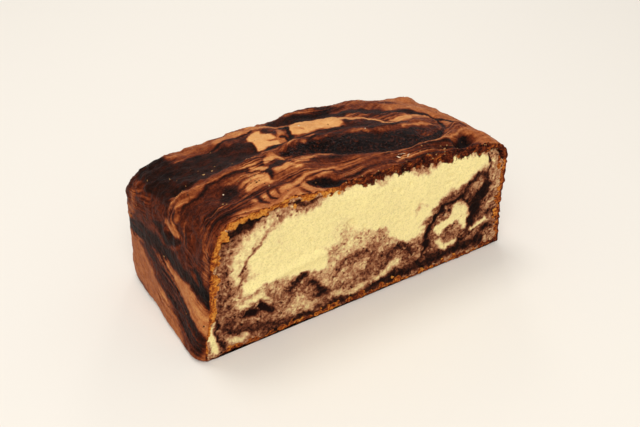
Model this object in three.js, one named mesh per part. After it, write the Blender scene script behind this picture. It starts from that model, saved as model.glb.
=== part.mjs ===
// A marble loaf cake that was baked in a loaf tin and cut lengthwise with a knife.
// The piece keeps its full length: a flat base, walls that lean in, a domed top with a baked crack,
// lips and folds, and the long cut face with its open crumb. It is one solid.
// Units are millimetres, +Z is up, +X runs along the loaf and the cut face looks towards -Y.
import * as THREE from "three";
import { mergeVertices } from "three/addons/utils/BufferGeometryUtils.js";

// Driving dimensions. While the loaf is shaped, the cut lies in the plane y = 0 and +Y runs to the back wall.
const halfLengthLeft = 101;
const halfLengthRight = 99.9;
const loafDepth = 94.5;
const heartHeight = 34; // the height inside the loaf that its surface is measured from

// How far the walls lean in for each millimetre of height.
const leftLeanAtCut = 0.21;
const leftLeanAtBack = 0.012;
const rightLean = 0.045;
const backLean = 0.03;

// Heights of the top at five stations along the loaf, above the cut and above the back wall.
const stationSpan = 100;
const heightsAtCut = [78.5, 83.5, 81, 79.8, 73];
const heightsAtBack = [66.5, 73.5, 76.3, 72.4, 60.5];
const crown = 2.9;

// Roundness of the edges: a larger power gives a sharper edge.
const endPower = 20;
const backPower = 11;
const topPower = 6.5;
const basePower = 60;
const lostFront = 14; // depth of the slice that was cut off
const flatBelow = 0.2; // the base is flat up to this height

// The crust turns in towards the knife along the lower left edge of the cut.
const turnedIn = 5;
const turnedInHeight = 60;
const turnedInDepth = 3;

// Number of grid cells along the length, the depth and the height.
const cellsLong = 54;
const cellsDeep = 22;
const cellsHigh = 16;

// Ridges (height above 0) and furrows (below 0) of the top crust, each along a line of points [x, y].
const topLines = [
  {
    name: "baked crack",
    path: [[-24, 37], [-8, 36], [4, 29], [20, 22], [38, 17], [58, 18]],
    width: 5.5,
    height: -2.6,
  },
  {
    name: "lip behind the crack",
    path: [[-20, 46], [6, 43], [28, 37], [52, 33], [66, 37]],
    width: 4.5,
    height: 1.5,
  },
  {
    name: "lip before the crack",
    path: [[-40, 24], [-14, 25], [4, 17], [22, 11], [40, 7]],
    width: 3.8,
    height: 1.0,
  },
  { name: "fold by the right end", path: [[42, 10], [60, 10], [72, 16], [80, 25]], width: 3.8, height: 2.2 },
  { name: "hollow under the fold", path: [[64, 5], [74, 8]], width: 3.8, height: -5.0 },
  { name: "dark hollow at the cut", path: [[-26, 6], [-17, 4]], width: 3.4, height: -2.2 },
  {
    name: "ridge between the pools",
    path: [[-92, 36], [-64, 35], [-44, 40], [-32, 44]],
    width: 4.0,
    height: 1.6,
  },
  { name: "left chocolate pool", path: [[-80, 54], [-52, 56]], width: 12, height: -1.6 },
  { name: "front chocolate pool", path: [[-84, 22], [-68, 24]], width: 8, height: -1.4 },
  { name: "pale plates", path: [[-28, 60], [-6, 59], [18, 58]], width: 8, height: 1.1 },
  { name: "fold across the pale plates", path: [[-14, 68], [-12, 56], [-20, 50]], width: 3, height: -1.3 },
  { name: "swell at the back", path: [[5, 82], [14, 82]], width: 7, height: 1.8 },
  { name: "peak at the right back", path: [[80, 77], [86, 80]], width: 5.5, height: 2.4 },
  { name: "furrow at the back", path: [[-10, 74], [30, 73], [60, 62]], width: 5, height: -1.5 },
  { name: "crease at the right", path: [[77, 42], [70, 26]], width: 3, height: -1.4 },
  { name: "left back corner", path: [[-84, 78], [-76, 80]], width: 8, height: 1.8 },
];

// Hollows (depth below 0) and raised smears (above 0) of the cut face, each along a line of points [x, z].
const cutLines = [
  { name: "open void", path: [[-70, 19], [-62, 23]], width: 4.2, height: -2.6 },
  { name: "small void", path: [[-73, 9], [-70, 9]], width: 2.6, height: -1.5 },
  { name: "pit in the crumb", path: [[-9, 54], [-8, 52]], width: 2.4, height: -1.4 },
  { name: "knife smear", path: [[-70, 36], [-46, 40], [-18, 43]], width: 2.6, height: 0.9 },
  { name: "soft crumb under the crust", path: [[-78, 62], [-68, 74], [-44, 78]], width: 4, height: -1.3 },
  { name: "torn crumb under the crust", path: [[-16, 76], [20, 76], [50, 74]], width: 3.6, height: -1.1 },
];

const clamp = THREE.MathUtils.clamp;

// A smooth curve through five heights, at stations -stationSpan to stationSpan.
function heightThrough(heights, x) {
  const [a, b, c, d, e] = heights;
  const curve = [2 * a - b, a, b, c, d, e, 2 * e - d];
  const at = (clamp(x / stationSpan, -1.15, 1.15) + 1) * 2;
  const i = clamp(Math.floor(at), 0, 3);
  const u = at - i;
  const [p, q, r, s] = curve.slice(i, i + 4);
  return q + 0.5 * u * (r - p + u * (2 * p - 5 * q + 4 * r - s + u * (3 * q - p - 3 * r + s)));
}

// Height of the lines above or below the plain surface, at one point of it.
function reliefOf(lines, x, y) {
  let sum = 0;
  for (const line of lines) {
    let nearest = Infinity;
    for (let i = 1; i < line.path.length; i++) {
      const [ax, ay] = line.path[i - 1];
      const [bx, by] = line.path[i];
      const along = ((x - ax) * (bx - ax) + (y - ay) * (by - ay)) / ((bx - ax) ** 2 + (by - ay) ** 2);
      const t = clamp(along, 0, 1);
      nearest = Math.min(nearest, (x - ax - t * (bx - ax)) ** 2 + (y - ay - t * (by - ay)) ** 2);
    }
    sum += line.height * Math.exp(-nearest / line.width ** 2);
  }
  return sum;
}

// The gentle unevenness of a baked surface, about 1 mm up and down.
function uneven(x, y) {
  return (
    0.45 * Math.sin(0.071 * x + 0.133 * y + 0.6) +
    0.35 * Math.sin(0.163 * x - 0.094 * y + 2.1) +
    0.25 * Math.sin(0.241 * x + 0.207 * y + 4.0) +
    0.15 * Math.sin(0.052 * x - 0.389 * y + 1.2)
  );
}

function topHeight(x, y) {
  const t = clamp(y / loafDepth, -0.3, 1.1);
  const plain = heightThrough(heightsAtCut, x) * (1 - t) + heightThrough(heightsAtBack, x) * t;
  return plain + crown * 4 * t * (1 - t) + reliefOf(topLines, x, y) + uneven(x, y);
}

// Below 1 inside the uncut loaf, above 1 outside it.
function outsideness(x, y, z) {
  const t = clamp(y / loafDepth, 0, 1);
  const lean = leftLeanAtCut + (leftLeanAtBack - leftLeanAtCut) * t;
  const turn = turnedIn * Math.max(0, 1 - z / turnedInHeight) * Math.exp(-y / turnedInDepth);
  const wall = x < 0 ? halfLengthLeft - lean * z - turn : halfLengthRight - rightLean * z;
  const back = loafDepth - backLean * z;
  const acrossMiddle = (back - lostFront) / 2;
  const endShare = Math.abs(x) / (wall + 0.5 * uneven(y, z));
  const backShare = Math.abs(y - acrossMiddle) / ((back + lostFront) / 2 + 0.5 * uneven(x, z));
  const rise = z - heartHeight;
  const heightShare = rise > 0 ? rise / (topHeight(x, y) - heartHeight) : -rise / heartHeight;
  return endShare ** endPower + backShare ** backPower + heightShare ** (rise > 0 ? topPower : basePower);
}

// How far along the direction the surface lies, as a multiple of its length.
function reachAlong(direction) {
  let inside = 0;
  let outside = 1.8;
  for (let i = 0; i < 28; i++) {
    const middle = (inside + outside) / 2;
    const value = outsideness(direction.x * middle, direction.y * middle, heartHeight + direction.z * middle);
    if (value > 1) outside = middle;
    else inside = middle;
  }
  return (inside + outside) / 2;
}

// How far the cut face stands out (towards -Y), with the slight waves that the knife left.
function cutRelief(x, z) {
  return reliefOf(cutLines, x, z) + 0.4 * Math.sin(0.11 * z + 0.021 * x) + 0.3 * Math.sin(0.19 * x + 0.5);
}

// Moves a point of the block -1..1, 0..1, -1..1 to the surface of the cut loaf.
function toLoaf(point) {
  const onCut = point.y < 1e-6;
  const rimShare = Math.max(Math.abs(point.x), Math.abs(point.z)); // 1 at the rim of the cut face
  const upper = heightsAtCut[2] - heartHeight;
  const direction = new THREE.Vector3(
    point.x * stationSpan,
    point.y * loafDepth,
    point.z * (point.z > 0 ? upper : heartHeight),
  );
  if (onCut && rimShare > 0) direction.divideScalar(rimShare);
  const reach = reachAlong(direction) * (onCut ? rimShare : 1);
  point.copy(direction).multiplyScalar(reach);
  point.z += heartHeight;
  if (onCut) point.y = -cutRelief(point.x, point.z);
  if (point.z < flatBelow) point.z = 0;
}

function loafGeometry() {
  const block = new THREE.BoxGeometry(2, 1, 2, cellsLong, cellsDeep, cellsHigh).translate(0, 0.5, 0);
  block.deleteAttribute("normal");
  block.deleteAttribute("uv");
  const surface = mergeVertices(block, 1e-6);
  const position = surface.getAttribute("position");
  const point = new THREE.Vector3();
  for (let i = 0; i < position.count; i++) {
    point.fromBufferAttribute(position, i);
    toLoaf(point);
    position.setXYZ(i, point.x, point.y, point.z);
  }
  surface.computeBoundingBox();
  const middle = surface.boundingBox.getCenter(new THREE.Vector3());
  surface.translate(-middle.x, -middle.y, -surface.boundingBox.min.z);
  surface.computeVertexNormals();
  return surface;
}

const crust = new THREE.MeshStandardMaterial({ color: 0x4a2818, roughness: 0.6, metalness: 0 });
const cake = new THREE.Mesh(loafGeometry(), crust);
cake.name = "marble_loaf_cake";

const part = new THREE.Group();
part.add(cake);
export default part;
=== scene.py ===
from math import cos, radians, sin

import bpy
import numpy as np
from mathutils import Matrix, Vector


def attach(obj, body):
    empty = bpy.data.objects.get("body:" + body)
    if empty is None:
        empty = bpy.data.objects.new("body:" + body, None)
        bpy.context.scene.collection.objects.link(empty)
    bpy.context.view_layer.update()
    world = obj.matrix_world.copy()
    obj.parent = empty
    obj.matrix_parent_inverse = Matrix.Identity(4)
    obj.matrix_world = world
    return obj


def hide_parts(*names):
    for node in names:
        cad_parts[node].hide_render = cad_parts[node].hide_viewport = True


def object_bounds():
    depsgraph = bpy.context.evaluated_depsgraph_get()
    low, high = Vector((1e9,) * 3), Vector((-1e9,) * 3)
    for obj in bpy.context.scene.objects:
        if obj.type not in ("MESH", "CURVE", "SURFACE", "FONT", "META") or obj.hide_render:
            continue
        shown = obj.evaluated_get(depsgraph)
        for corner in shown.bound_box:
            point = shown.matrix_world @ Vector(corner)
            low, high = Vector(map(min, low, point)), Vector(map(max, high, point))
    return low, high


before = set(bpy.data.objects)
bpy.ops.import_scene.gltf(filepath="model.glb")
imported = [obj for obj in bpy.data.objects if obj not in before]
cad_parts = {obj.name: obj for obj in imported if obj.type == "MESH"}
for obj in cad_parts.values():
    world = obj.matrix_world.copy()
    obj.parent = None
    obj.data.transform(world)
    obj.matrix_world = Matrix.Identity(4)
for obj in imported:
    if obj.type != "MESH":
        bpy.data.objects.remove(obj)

# A marble loaf cake, cut lengthwise. Shapes are worked out in millimetres with the cut in the plane y = 0
# and +Y towards the back wall, then moved onto the CAD frame in metres.
metresPerMm = 0.001
wholeTurn = 6.283  # radians
cadLow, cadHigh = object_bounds()

loaf = {
    "node": "marble_loaf_cake", "slot": "cake",
    "halfLengthLeft": 101.0, "halfLengthRight": 99.9, "depth": 94.5, "heart": 34.0,
    "leftLeanAtCut": 0.21, "leftLeanAtBack": 0.012, "rightLean": 0.045, "backLean": 0.03,
    "span": 100.0, "cutHeights": [78.5, 83.5, 81, 79.8, 73], "backHeights": [66.5, 73.5, 76.3, 72.4, 60.5],
    "crown": 2.9, "endPower": 20, "backPower": 11, "topPower": 6.5, "basePower": 60, "lostFront": 14,
    "turnedIn": 5.0, "turnedInHeight": 60.0, "turnedInDepth": 3.0, "flatBelow": 0.2,
    "cellsLong": 262, "cellsDeep": 110, "cellsHigh": 96, "baseRing": 6, "searchSteps": 22,
    "sharpFrom": 60,  # degrees
}

# Ridges (height above 0) and furrows (below 0) of the top: points (x, y), width, height.
topLines = {
    "baked crack": ([(-24, 37), (-8, 36), (4, 29), (20, 22), (38, 17), (58, 18)], 5.5, -2.6),
    "lip behind the crack": ([(-20, 46), (6, 43), (28, 37), (52, 33), (66, 37)], 4.5, 1.5),
    "lip before the crack": ([(-40, 24), (-14, 25), (4, 17), (22, 11), (40, 7)], 3.8, 1),
    "fold by the right end": ([(42, 10), (60, 10), (72, 16), (80, 25)], 3.8, 2.2),
    "hollow under the fold": ([(64, 5), (74, 8)], 3.8, -5),
    "dark hollow at the cut": ([(-26, 6), (-17, 4)], 3.4, -2.2),
    "ridge between the pools": ([(-92, 36), (-64, 35), (-44, 40), (-32, 44)], 4, 1.6),
    "left chocolate pool": ([(-80, 54), (-52, 56)], 12, -1.6),
    "front chocolate pool": ([(-84, 22), (-68, 24)], 8, -1.4),
    "pale plates": ([(-28, 60), (-6, 59), (18, 58)], 8, 1.1),
    "fold across the pale plates": ([(-14, 68), (-12, 56), (-20, 50)], 3, -1.3),
    "swell at the back": ([(5, 82), (14, 82)], 7, 1.8),
    "peak at the right back": ([(80, 77), (86, 80)], 5.5, 2.4),
    "furrow at the back": ([(-10, 74), (30, 73), (60, 62)], 5, -1.5),
    "crease at the right": ([(77, 42), (70, 26)], 3, -1.4),
    "left back corner": ([(-84, 78), (-76, 80)], 8, 1.8),
}

# Hollows (below 0) and raised smears (above 0) of the cut face: points (x, z), width, height.
cutLines = {
    "open void": ([(-70, 19), (-62, 23)], 4.2, -2.6),
    "small void": ([(-73, 9), (-70, 9)], 2.6, -1.5),
    "pit in the crumb": ([(-9, 54), (-8, 52)], 2.4, -1.4),
    "knife smear": ([(-70, 36), (-46, 40), (-18, 43)], 2.6, 0.9),
    "soft crumb under the crust": ([(-78, 62), (-68, 74), (-44, 78)], 4, -1.3),
    "torn crumb under the crust": ([(-16, 76), (20, 76), (50, 74)], 3.6, -1.1),
}


def smoothStep(low, high, value):
    t = np.clip((value - low) / (high - low), 0, 1)
    return t * t * (3 - 2 * t)


# Smooth random field of unit strength, whose bumps are about size apart.
def waves(points, size, seed, count=22):
    draw = np.random.default_rng(seed)
    turns = draw.normal(size=(count, 3))
    turns /= np.linalg.norm(turns, axis=1, keepdims=True)
    turns *= (2 * np.pi / (size * draw.uniform(0.7, 1.6, count)))[:, None]
    return np.sin(points @ turns.T + draw.uniform(0, wholeTurn, count)).sum(1) * (2 / count) ** 0.5


def heightThrough(heights, x):
    a, b, c, d, e = heights
    curve = np.array([2 * a - b, a, b, c, d, e, 2 * e - d])
    at = (np.clip(x / loaf["span"], -1.15, 1.15) + 1) * 2
    i = np.clip(np.floor(at), 0, 3).astype(int)
    u = at - i
    p, q, r, s = curve[i], curve[i + 1], curve[i + 2], curve[i + 3]
    return q + 0.5 * u * (r - p + u * (2 * p - 5 * q + 4 * r - s + u * (3 * q - p - 3 * r + s)))


def reliefOf(lines, x, y):
    total = np.zeros_like(x)
    for path, width, height in lines.values():
        nearest = np.full_like(x, np.inf)
        for (ax, ay), (bx, by) in zip(path, path[1:]):
            t = ((x - ax) * (bx - ax) + (y - ay) * (by - ay)) / ((bx - ax) ** 2 + (by - ay) ** 2)
            t = np.clip(t, 0, 1)
            nearest = np.minimum(nearest, (x - ax - t * (bx - ax)) ** 2 + (y - ay - t * (by - ay)) ** 2)
        total += height * np.exp(-nearest / width ** 2)
    return total


def uneven(x, y):
    return (0.45 * np.sin(0.071 * x + 0.133 * y + 0.6) + 0.35 * np.sin(0.163 * x - 0.094 * y + 2.1)
            + 0.25 * np.sin(0.241 * x + 0.207 * y + 4.0) + 0.15 * np.sin(0.052 * x - 0.389 * y + 1.2))


def topHeight(x, y):
    t = np.clip(y / loaf["depth"], -0.3, 1.1)
    plain = heightThrough(loaf["cutHeights"], x) * (1 - t) + heightThrough(loaf["backHeights"], x) * t
    return plain + loaf["crown"] * 4 * t * (1 - t) + reliefOf(topLines, x, y) + uneven(x, y)


# Below 1 inside the uncut loaf, above 1 outside it.
def outsideness(x, y, z):
    t = np.clip(y / loaf["depth"], 0, 1)
    lean = loaf["leftLeanAtCut"] + (loaf["leftLeanAtBack"] - loaf["leftLeanAtCut"]) * t
    turn = loaf["turnedIn"] * np.maximum(0, 1 - z / loaf["turnedInHeight"])
    turn = turn * np.exp(-y / loaf["turnedInDepth"])
    leftWall = loaf["halfLengthLeft"] - lean * z - turn
    wall = np.where(x < 0, leftWall, loaf["halfLengthRight"] - loaf["rightLean"] * z)
    back = loaf["depth"] - loaf["backLean"] * z
    middle = (back - loaf["lostFront"]) / 2
    endShare = np.abs(x) / (wall + 0.5 * uneven(y, z))
    backShare = np.abs(y - middle) / ((back + loaf["lostFront"]) / 2 + 0.5 * uneven(x, z))
    rise = z - loaf["heart"]
    upShare = np.maximum(rise, 0) / (topHeight(x, y) - loaf["heart"])
    downShare = np.maximum(-rise, 0) / loaf["heart"]
    heightPart = upShare ** loaf["topPower"] + downShare ** loaf["basePower"]
    return endShare ** loaf["endPower"] + backShare ** loaf["backPower"] + heightPart


def cutRelief(x, z):
    return reliefOf(cutLines, x, z) + 0.4 * np.sin(0.11 * z + 0.021 * x) + 0.3 * np.sin(0.19 * x + 0.5)


# Moves points of the block -1..1, 0..1, -1..1 to the surface of the cut loaf.
def toLoaf(block):
    onCut = block[:, 1] < 1e-6
    rimShare = np.maximum(np.abs(block[:, 0]), np.abs(block[:, 2]))  # 1 at the rim of the cut face
    upper = loaf["cutHeights"][2] - loaf["heart"]
    ray = block * [loaf["span"], loaf["depth"], 1]
    ray[:, 2] *= np.where(block[:, 2] > 0, upper, loaf["heart"])
    ray[onCut] /= np.maximum(rimShare[onCut], 1e-9)[:, None]
    inside = np.zeros(len(ray))
    outside = np.full(len(ray), 1.8)  # beyond the surface in every direction
    for _ in range(loaf["searchSteps"]):
        middle = (inside + outside) / 2
        far = outsideness(ray[:, 0] * middle, ray[:, 1] * middle, loaf["heart"] + ray[:, 2] * middle) > 1
        outside = np.where(far, middle, outside)
        inside = np.where(far, inside, middle)
    reach = (inside + outside) / 2 * np.where(onCut, rimShare, 1)
    place = ray * reach[:, None]
    place[:, 2] += loaf["heart"]
    place[onCut, 1] = -cutRelief(place[onCut, 0], place[onCut, 2])
    place[place[:, 2] < loaf["flatBelow"], 2] = 0
    return place, onCut, rimShare


# Vertices and faces of a gridded block, with one large face inside a ring of cells at its base.
def blockGrid():
    nx, ny, nz = loaf["cellsLong"], loaf["cellsDeep"], loaf["cellsHigh"]
    ring = loaf["baseRing"]
    i, j, k = np.meshgrid(range(nx + 1), range(ny + 1), range(nz + 1), indexing="ij")
    shell = (i == 0) | (i == nx) | (j == 0) | (j == ny) | (k == 0) | (k == nz)
    hidden = (k == 0) & (i > ring) & (i < nx - ring) & (j > ring) & (j < ny - ring)
    kept = shell & ~hidden
    number = np.full(kept.shape, -1)
    number[kept] = np.arange(kept.sum())
    block = np.stack([i[kept] / nx * 2 - 1, j[kept] / ny, k[kept] / nz * 2 - 1], 1).astype(float)

    def cells(sheet, turned):
        quads = np.stack([sheet[:-1, :-1], sheet[1:, :-1], sheet[1:, 1:], sheet[:-1, 1:]], -1).reshape(-1, 4)
        quads = quads[(quads >= 0).all(1)]
        return quads[:, ::-1] if turned else quads

    cut = cells(number[:, 0, :], False)
    crust = [cells(number[:, ny, :], True), cells(number[:, :, nz], False), cells(number[0], True),
             cells(number[nx], False), cells(number[:, :, 0], True)]
    a, b, c, d = ring, nx - ring, ring, ny - ring
    loop = [number[a, y, 0] for y in range(c, d)] + [number[x, d, 0] for x in range(a, b)]
    loop += [number[b, y, 0] for y in range(d, c, -1)] + [number[x, c, 0] for x in range(b, a, -1)]
    return block, cut, np.concatenate(crust), loop


def normalsOf(points, quads):
    across = np.cross(points[quads[:, 2]] - points[quads[:, 0]], points[quads[:, 3]] - points[quads[:, 1]])
    total = np.zeros_like(points)
    for corner in range(4):
        np.add.at(total, quads[:, corner], across)
    return total / np.maximum(np.linalg.norm(total, axis=1, keepdims=True), 1e-12)


# Distance inside a stroke (above 0) or outside it (below 0). Its points are (a, b, half width).
def reachInside(a, b, path):
    best = np.full(len(a), -1e9)
    for (a0, b0, w0), (a1, b1, w1) in zip(path, path[1:]):
        t = np.clip(((a - a0) * (a1 - a0) + (b - b0) * (b1 - b0)) / ((a1 - a0) ** 2 + (b1 - b0) ** 2), 0, 1)
        best = np.maximum(best, w0 + (w1 - w0) * t - np.hypot(a - a0 - t * (a1 - a0), b - b0 - t * (b1 - b0)))
    return best


# Marbling of the top crust: tone (0 black, 1 pale tan), streaks, gloss, soft edge, and the path as
# points (x, y, half width).
topPaint = {
    "brown over the right end": (0.61, 0.25, 0.2, 4, [(92, -4, 16), (90, 40, 17), (84, 90, 20)]),
    "brown behind the pools": (0.56, 0.6, 0.2, 3, [(-78, 84, 7), (-40, 82, 8), (-20, 82, 7)]),
    "tan ribbon at the back": (0.7, 0.45, 0.2, 1.5,
        [(-48, 76, 2.5), (-34, 77, 4), (-22, 78, 5), (-8, 70, 2)]),
    "left pool, left lobe": (0.16, 0.1, 0.15, 1.2, [(-88, 52, 10), (-80, 55, 15), (-66, 55, 14)]),
    "left pool, right lobe": (0.17, 0.06, 0.15, 1,
        [(-66, 55, 14), (-52, 54, 14.5), (-42, 54, 11), (-34, 50, 3)]),
    "pool over the shoulder": (0.15, 0.2, 0.15, 1.5, [(-84, 64, 9), (-84, 80, 8), (-84, 96, 7)]),
    "ridge in the left pool": (0.27, 0.1, 0.2, 1.4, [(-52, 61, 1.2), (-37, 52, 1)]),
    "brown lumps": (0.42, 0.9, 0.2, 1.5, [(-72, 72, 3.5), (-62, 73, 3)]),
    "crease line": (0.12, 0.1, 0.2, 0.7,
        [(-66, 69, 1.2), (-54, 70, 0.8), (-47, 73, 0.8), (-38, 71, 0.7), (-27, 73, 0.7)]),
    "tan plate, left": (0.92, 0.1, 0.15, 0.8, [(-25, 70, 1.5), (-28, 63, 5.5), (-27, 56, 6.5)]),
    "tan plate, left end": (0.9, 0.1, 0.15, 0.8, [(-29, 56, 5), (-31, 50, 2)]),
    "lens": (0.66, 0.3, 0.2, 0.8, [(-20, 54, 3), (-16, 60, 2), (-15, 66, 1.2)]),
    "tan plate, middle": (0.88, 0.16, 0.15, 0.8, [(-4, 60, 7.5), (6, 60, 8.8), (16, 57, 7.5), (24, 56, 4)]),
    "tail of the plate": (0.8, 0.3, 0.2, 0.8, [(24, 60, 3), (33, 54, 2.6), (41, 46, 1.6), (45, 39, 0.8)]),
    "purple pool": (0.22, 0.3, 0.25, 1.2, [(22, 51, 3.6), (30, 46, 5), (37, 42, 3.4)]),
    "band below the plate": (0.2, 0.45, 0.25, 1.4,
        [(-10, 46, 2), (6, 44.5, 3.6), (20, 42, 4.4), (36, 38, 3.6), (50, 37, 2)]),
    "pinkish tip": (0.7, 0.3, 0.2, 1, [(-8, 49, 1.4), (-3, 48, 0.8)]),
    "tan chip": (0.78, 0.3, 0.2, 0.8, [(-20, 46, 0.9), (-15, 49, 1.6)]),
    "squiggle": (0.07, 0, 0.3, 0.6,
        [(-12, 68, 1.6), (-10, 60, 1.3), (-13, 54, 1.1), (-22, 50, 1.2), (-31, 45, 1.4)]),
    "curl": (0.12, 0, 0.3, 0.6, [(-19, 58, 0.7), (-15.5, 57, 0.9), (-16, 53, 0.9)]),
    "mark on the plate": (0.45, 0, 0.2, 0.6, [(-26, 56, 0.9), (-22, 57, 0.6)]),
    "side of the lens": (0.2, 0.2, 0.2, 0.8, [(-21, 69, 1.2), (-19, 62, 0.8)]),
    "line below the plate": (0.08, 0, 0.3, 0.6,
        [(-16, 50, 0.9), (-2, 50, 0.8), (9, 48.5, 0.8), (17, 47.5, 0.6)]),
    "wrinkle": (0.62, 0, 0.2, 0.7, [(-6, 59, 0.5), (-3, 56, 0.5)]),
    "dark back band": (0.17, 0.35, 0.2, 1.4,
        [(-16, 79, 2.5), (-4, 77, 4.2), (8, 73, 5), (20, 69, 5.2), (32, 68, 4.6)]),
    "dark back band, right": (0.17, 0.3, 0.2, 1.4,
        [(32, 68, 4.6), (44, 63, 5), (54, 60, 5), (64, 54, 3.4), (71, 46, 2)]),
    "streak in the band": (0.44, 0.6, 0.2, 1.2, [(26, 73, 1.5), (44, 73, 1.6), (60, 70, 2), (70, 62, 2.6)]),
    "smooth brown": (0.63, 0.15, 0.3, 2.5, [(58, 66, 4), (70, 60, 4.5), (78, 50, 4)]),
    "brown arc at the back": (0.52, 0.7, 0.2, 1.5,
        [(12, 84, 2), (20, 88, 2), (32, 82, 3), (48, 79, 4), (62, 80, 4)]),
    "tan patch, right": (0.8, 0.2, 0.2, 1.6, [(50, 44, 3), (57, 44, 4.2), (68, 45, 2.6)]),
    "brown by the patch": (0.62, 0.5, 0.2, 1.6, [(62, 41, 3), (72, 44, 3)]),
    "red ribbon": (0.45, 0.6, 0.35, 0.9,
        [(-6, 43.5, 0.7), (8, 41.5, 1), (20, 38, 1.2), (34, 34, 1.4), (50, 33, 1.8), (66, 35.5, 1.8)]),
    "tan streak by the ribbon": (0.72, 0.5, 0.3, 0.8, [(46, 31.5, 0.8), (58, 31, 1.2), (70, 29, 0.9)]),
    "crease at the right": (0.1, 0, 0.2, 0.7, [(77, 40, 0.8), (74, 33, 1.1), (70, 26, 0.9)]),
    "trench": (0.1, 0.12, 1, 1, [(-26, 40, 1.4), (-12, 39.5, 3.4), (0, 35, 7), (9, 29, 10), (20, 26.5, 9)]),
    "trench, right": (0.12, 0.25, 0.9, 1.2, [(20, 26.5, 9), (34, 22, 8.8), (46, 20, 8.2), (60, 20.5, 6)]),
    "trench end": (0.25, 0.8, 0.6, 1.5, [(52, 23, 3), (66, 24, 2)]),
    "dark line over the crease": (0.1, 0.2, 0.3, 0.9, [(68, 52, 1.4), (76, 44, 1.3), (82, 30, 1.6)]),
    "tan lip before the trench": (0.64, 0.6, 0.3, 0.9, [(-14, 31, 0.9), (-6, 28, 1.2), (0, 22, 0.8)]),
    "fold, pale edge": (0.72, 0.2, 0.3, 0.7,
        [(43, 11, 1.3), (50, 10, 0.8), (60, 9.5, 0.7), (70, 13, 0.8), (78, 17.5, 0.8)]),
    "fold, upper streaks": (0.5, 1, 0.4, 1.2, [(60, 13, 2), (74, 20, 2.6), (84, 27, 3)]),
    # Painted shade: the hollow under the fold is painted near black for the shadow that the fold casts into
    # it.
    "hollow under the fold": (0.05, 0.1, 0.3, 1, [(62, 5, 1.2), (68, 6.5, 2.6), (75, 9.5, 2.8)]),
    "ragged zone at the cut": (0.36, 1, 0.3, 2, [(-10, 5, 4.5), (16, 5, 5), (44, 4, 4.5), (62, 2, 2.5)]),
    "pale bits": (0.66, 0.9, 0.4, 0.9, [(24, 12, 1), (27, 12.5, 1), (30, 11, 0.6)]),
    "pale chips": (0.7, 0.6, 0.6, 0.8, [(22, 4.5, 0.8), (28, 5.5, 1), (34, 5, 0.6)]),
    "front pool": (0.3, 0.07, 0.35, 1.3, [(-86, 22, 6.5), (-78, 22, 8), (-70, 22, 7), (-63, 23, 4)]),
    "front pool, dark side": (0.13, 0.07, 0.3, 1.4, [(-70, 19, 2.6), (-65, 23, 3.4)]),
    "lines between the pools": (0.5, 1, 0.3, 1.2,
        [(-92, 34, 2.2), (-74, 34, 2.6), (-58, 34, 2.4), (-46, 37, 2.2)]),
    "dark line between the pools": (0.12, 0.1, 0.2, 0.6,
        [(-92, 30, 0.7), (-76, 31, 0.8), (-66, 33, 0.9), (-50, 33, 0.7)]),
    "tan crumble": (0.78, 0.4, 0.2, 1, [(-55, 20, 2.6), (-50, 22, 4.4), (-46, 20, 3.4)]),
    "tan crumble, upper": (0.76, 0.4, 0.2, 1, [(-48, 32, 2.2), (-42, 30, 2.8)]),
    "tan crumble, top": (0.76, 0.5, 0.2, 0.9,
        [(-38, 36, 1), (-35, 38.5, 2.2), (-31, 38, 1.3), (-28, 36, 0.6)]),
    "tan crumble, right": (0.78, 0.4, 0.2, 1, [(-37, 23, 2), (-32, 23.5, 2.4), (-28, 22, 1.6)]),
    "tan crumble, far right": (0.74, 0.5, 0.2, 1, [(-26, 26, 2.6), (-20, 27, 2.8), (-14, 28, 1.6)]),
    "purple blot": (0.14, 0.2, 0.3, 0.9, [(-41, 27, 1.2), (-36, 31, 2.6), (-30, 31, 2.8), (-28, 28, 1)]),
    "dark neck": (0.14, 0.2, 0.3, 0.9, [(-41, 28, 1.4), (-42, 22, 1.5), (-44, 19, 0.8)]),
    "thin dark line": (0.12, 0, 0.2, 0.5, [(-52, 31, 0.6), (-46, 28, 0.6), (-41, 23, 0.6)]),
    "gold at the front left": (0.66, 0.9, 0.2, 2,
        [(-80, -2, 2.5), (-60, 1, 3.5), (-44, 3, 5), (-36, 3, 5), (-22, -3, 3)]),
    "chevron, outer tan": (0.76, 0.2, 0.2, 1,
        [(-10, 13, 0.9), (-24, 13, 1.2), (-42, 8.5, 2.4), (-38, 1, 1.8)]),
    "chevron, outer line": (0.22, 0.1, 0.2, 0.7,
        [(-12, 10.8, 0.8), (-26, 10.8, 1), (-38, 5.5, 1.3), (-34, -1, 1)]),
    "chevron, inner tan": (0.74, 0.1, 0.2, 0.8,
        [(-14, 9.2, 0.7), (-26, 9.4, 1), (-33.5, 6.5, 1.5), (-27, 0.5, 1.4)]),
    "chevron, inner line": (0.24, 0.1, 0.2, 0.6, [(-24, 9, 0.5), (-30.5, 7.2, 0.7), (-25, 2, 0.7)]),
    "chevron": (0.05, 0, 0.5, 0.7, [(-30, 7.4, 0.7), (-26, 6.6, 1.8), (-20, 4, 2.9), (-14, 1, 2.2)]),
    "curls, ground": (0.66, 0.6, 0.2, 1.6, [(-60, 7, 2.5), (-50, 6, 4), (-40, 3, 4)]),
    "curls": (0.18, 0.1, 0.2, 0.8, [(-57, 11, 0.8), (-58, 5, 1.1), (-55, 2, 0.8)]),
    "curls, second": (0.2, 0.1, 0.2, 0.7, [(-51, 11, 0.7), (-52, 6, 0.9), (-50, 3, 0.7)]),
    "curls, third": (0.26, 0.1, 0.2, 0.7, [(-46, 10, 0.6), (-46, 6, 0.7)]),
}

# Strokes of the top that the streaks run round: how far they are pushed aside and how soon that fades, in mm.
flowRound = [
    ("left pool, left lobe", 9, 7), ("left pool, right lobe", 9, 7), ("front pool", 8, 6), ("trench", 5, 6),
    ("tan plate, middle", 5, 6), ("tan plate, left", 5, 5), ("chevron", -6, 5), ("trench, right", 4, 6),
]

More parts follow.
